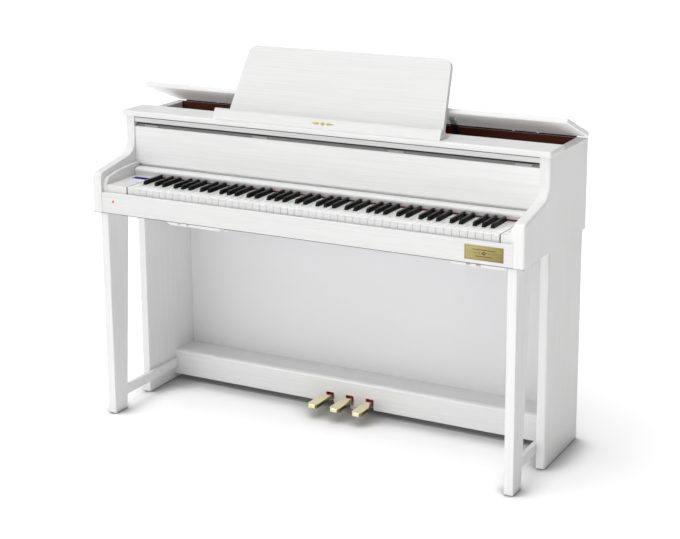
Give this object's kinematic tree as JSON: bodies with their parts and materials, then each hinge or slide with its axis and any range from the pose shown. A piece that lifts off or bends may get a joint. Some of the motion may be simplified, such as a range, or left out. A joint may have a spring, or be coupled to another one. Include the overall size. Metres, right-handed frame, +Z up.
{
  "type": "upright piano",
  "caption": "White wood-grain upright console piano with a propped lid, music desk, sliding key cover, open front legs and three brass pedals.",
  "frame": {"origin": "on the floor, at the middle of the piano's width and depth", "axes": "+X from the bass end to the treble end, +Y from the player to the back, +Z up"},
  "size_m": [1.434, 0.489, 1.1599],
  "materials": {
    "white_wood": "satin white with a fine wood grain",
    "grey_board": "matt light grey",
    "brown_board": "dark red-brown stain",
    "raw_wood": "unfinished timber",
    "white_key": "wood with matt ivory-look tops",
    "black_key": "wood with satin black tops",
    "brass": "satin brass",
    "red_felt": "felt",
    "display": "dark blue display window",
    "steel": "plated",
    "black_plastic": "matt",
    "white_plastic": "satin",
    "circuit": "circuit board"
  },
  "bodies": {
    "cabinet": {"circuit_board": "circuit", "data_port_box": "white_wood", "display_window": "display", "floor_glides": "white_plastic", "front_panel": "white_wood", "hammer_action": "raw_wood", "headphone_box": "white_wood", "inner_back_board": "brown_board", "inner_cheeks": "white_wood", "key_bed": "raw_wood", "key_frame": "raw_wood", "key_slip": "white_wood", "key_stop_rail": "grey_board", "left_control_block": "white_wood", "left_front_leg": "white_wood", "left_lower_panel": "white_wood", "left_side_panel": "white_wood", "leg_stretchers": "white_wood", "lid_hinges": "steel", "lower_back_board": "grey_board", "mains_inlet": "black_plastic", "music_ledge": "white_wood", "name_plate": "brass", "pedal_box_front": "white_wood", "pedal_box_top": "grey_board", "pedal_frame": "steel", "red_felts": "red_felt", "right_end_block": "white_wood", "right_front_leg": "white_wood", "right_lower_panel": "white_wood", "right_side_panel": "white_wood", "screw_caps": "white_plastic", "speaker_shelf": "brown_board", "speakers": "black_plastic", "top_board": "white_wood", "top_rail": "white_wood", "upper_back_board": "grey_board"},
    "lid": {"lid": "white_wood"},
    "lid_stay": {"lid_stay": "black_plastic"},
    "music_desk": {"music_desk": "white_wood"},
    "key_cover": {"key_cover": "white_wood"},
    "left_pedal": {"left_pedal": "brass"},
    "middle_pedal": {"middle_pedal": "brass"},
    "right_pedal": {"right_pedal": "brass"},
    "volume_knob": {"volume_knob": "white_plastic"},
    "height_adjuster": {"height_adjuster": "black_plastic"},
    "other_white_keys": {"other_white_keys": "white_key"},
    "other_black_keys": {"other_black_keys": "black_key"},
    "key_c": {"key_c": "white_key"},
    "key_c_sharp": {"key_c_sharp": "black_key"},
    "key_d": {"key_d": "white_key"},
    "key_d_sharp": {"key_d_sharp": "black_key"},
    "key_e": {"key_e": "white_key"},
    "key_f": {"key_f": "white_key"},
    "key_f_sharp": {"key_f_sharp": "black_key"},
    "key_g": {"key_g": "white_key"},
    "key_g_sharp": {"key_g_sharp": "black_key"},
    "key_a": {"key_a": "white_key"},
    "key_a_sharp": {"key_a_sharp": "black_key"},
    "key_b": {"key_b": "white_key"}
  },
  "joints": [
    {"name": "lid_swing", "type": "hinge", "parent": "cabinet", "child": "lid", "pos_m": [0, 0.2395, 0.939], "axis": [1, 0, 0], "range_deg": [0, 21.4]},
    {"name": "lid_stay_fold", "type": "hinge", "parent": "lid", "child": "lid_stay", "pos_m": [0.345, 0.10186, 0.98381], "axis": [1, 0, 0], "range_deg": [0, 36.7]},
    {"name": "music_desk_tilt", "type": "hinge", "parent": "cabinet", "child": "music_desk", "pos_m": [0, 0.004, 0.961], "axis": [1, 0, 0], "range_deg": [0, 20]},
    {"name": "key_cover_slide", "type": "slide", "parent": "cabinet", "child": "key_cover", "axis": [0, -1, 0], "range_m": [0, 0.15]},
    {"name": "left_pedal_press", "type": "hinge", "parent": "cabinet", "child": "left_pedal", "pos_m": [0, 0.212, 0.0425], "axis": [1, 0, 0], "range_deg": [0, 5.5], "stiffness_Nm_per_rad": 40, "springref_deg": -3.44},
    {"name": "middle_pedal_press", "type": "hinge", "parent": "cabinet", "child": "middle_pedal", "pos_m": [0, 0.212, 0.0425], "axis": [1, 0, 0], "range_deg": [0, 5.5], "stiffness_Nm_per_rad": 40, "springref_deg": -3.44},
    {"name": "right_pedal_press", "type": "hinge", "parent": "cabinet", "child": "right_pedal", "pos_m": [0, 0.212, 0.0425], "axis": [1, 0, 0], "range_deg": [0, 5.5], "stiffness_Nm_per_rad": 40, "springref_deg": -3.44},
    {"name": "volume_knob_turn", "type": "hinge", "parent": "cabinet", "child": "volume_knob", "pos_m": [0.654, -0.19, 0.75], "axis": [0, 0, 1], "range_deg": [-140, 140]},
    {"name": "height_adjuster_turn", "type": "hinge", "parent": "cabinet", "child": "height_adjuster", "pos_m": [-0.01, 0.16, 0.01], "axis": [0, 0, 1], "range_deg": [-180, 180]},
    {"name": "key_c_press", "type": "hinge", "parent": "cabinet", "child": "key_c", "pos_m": [0, 0.02, 0.716], "axis": [1, 0, 0], "range_deg": [0, 2.3], "stiffness_Nm_per_rad": 2, "springref_deg": -4.58},
    {"name": "key_c_sharp_press", "type": "hinge", "parent": "cabinet", "child": "key_c_sharp", "pos_m": [0, 0.02, 0.716], "axis": [1, 0, 0], "range_deg": [0, 2.3], "stiffness_Nm_per_rad": 2, "springref_deg": -4.58},
    {"name": "key_d_press", "type": "hinge", "parent": "cabinet", "child": "key_d", "pos_m": [0, 0.02, 0.716], "axis": [1, 0, 0], "range_deg": [0, 2.3], "stiffness_Nm_per_rad": 2, "springref_deg": -4.58},
    {"name": "key_d_sharp_press", "type": "hinge", "parent": "cabinet", "child": "key_d_sharp", "pos_m": [0, 0.02, 0.716], "axis": [1, 0, 0], "range_deg": [0, 2.3], "stiffness_Nm_per_rad": 2, "springref_deg": -4.58},
    {"name": "key_e_press", "type": "hinge", "parent": "cabinet", "child": "key_e", "pos_m": [0, 0.02, 0.716], "axis": [1, 0, 0], "range_deg": [0, 2.3], "stiffness_Nm_per_rad": 2, "springref_deg": -4.58},
    {"name": "key_f_press", "type": "hinge", "parent": "cabinet", "child": "key_f", "pos_m": [0, 0.02, 0.716], "axis": [1, 0, 0], "range_deg": [0, 2.3], "stiffness_Nm_per_rad": 2, "springref_deg": -4.58},
    {"name": "key_f_sharp_press", "type": "hinge", "parent": "cabinet", "child": "key_f_sharp", "pos_m": [0, 0.02, 0.716], "axis": [1, 0, 0], "range_deg": [0, 2.3], "stiffness_Nm_per_rad": 2, "springref_deg": -4.58},
    {"name": "key_g_press", "type": "hinge", "parent": "cabinet", "child": "key_g", "pos_m": [0, 0.02, 0.716], "axis": [1, 0, 0], "range_deg": [0, 2.3], "stiffness_Nm_per_rad": 2, "springref_deg": -4.58},
    {"name": "key_g_sharp_press", "type": "hinge", "parent": "cabinet", "child": "key_g_sharp", "pos_m": [0, 0.02, 0.716], "axis": [1, 0, 0], "range_deg": [0, 2.3], "stiffness_Nm_per_rad": 2, "springref_deg": -4.58},
    {"name": "key_a_press", "type": "hinge", "parent": "cabinet", "child": "key_a", "pos_m": [0, 0.02, 0.716], "axis": [1, 0, 0], "range_deg": [0, 2.3], "stiffness_Nm_per_rad": 2, "springref_deg": -4.58},
    {"name": "key_a_sharp_press", "type": "hinge", "parent": "cabinet", "child": "key_a_sharp", "pos_m": [0, 0.02, 0.716], "axis": [1, 0, 0], "range_deg": [0, 2.3], "stiffness_Nm_per_rad": 2, "springref_deg": -4.58},
    {"name": "key_b_press", "type": "hinge", "parent": "cabinet", "child": "key_b", "pos_m": [0, 0.02, 0.716], "axis": [1, 0, 0], "range_deg": [0, 2.3], "stiffness_Nm_per_rad": 2, "springref_deg": -4.58},
    {"name": "other_white_keys_press", "type": "hinge", "parent": "cabinet", "child": "other_white_keys", "pos_m": [0, 0.02, 0.716], "axis": [1, 0, 0], "range_deg": [0, 2.3], "stiffness_Nm_per_rad": 90, "springref_deg": -4.58},
    {"name": "other_black_keys_press", "type": "hinge", "parent": "cabinet", "child": "other_black_keys", "pos_m": [0, 0.02, 0.716], "axis": [1, 0, 0], "range_deg": [0, 2.3], "stiffness_Nm_per_rad": 62, "springref_deg": -4.58}
  ],
  "couplings": [
    {"joint": "lid_stay_fold", "follows": "lid_swing", "ratio": 1.7103}
  ]
}
